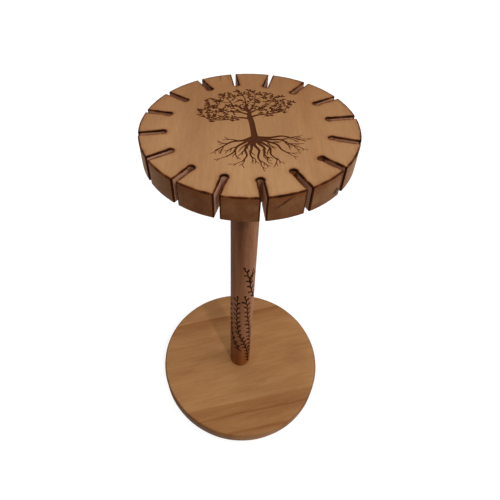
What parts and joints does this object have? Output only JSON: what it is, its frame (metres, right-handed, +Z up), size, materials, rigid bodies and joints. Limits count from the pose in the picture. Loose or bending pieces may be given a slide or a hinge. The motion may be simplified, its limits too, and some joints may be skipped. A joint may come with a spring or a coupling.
{
  "type": "necklace stand",
  "caption": "Wooden necklace stand: a round top with slots sawn in from its rim and a tree burned into its face, held on a dowel post above a wider round base.",
  "frame": {"origin": "on the surface that the feet stand on, under the axis of the post", "axes": "+Z up along the post, +Y the way up of the tree on the top"},
  "size_m": [0.2, 0.2, 0.37],
  "materials": {
    "top_wood": "sanded and oiled, with burned lines",
    "post_wood": "oiled, with burned lines",
    "base_wood": "sanded and oiled",
    "zinc_steel": "zinc plated",
    "foot_rubber": "matt"
  },
  "bodies": {
    "root": {"top_disc": "top_wood", "post": "post_wood", "base_disc": "base_wood", "base_screw": "zinc_steel", "rubber_foot_1": "foot_rubber", "rubber_foot_2": "foot_rubber", "rubber_foot_3": "foot_rubber", "rubber_foot_4": "foot_rubber"}
  },
  "joints": []
}
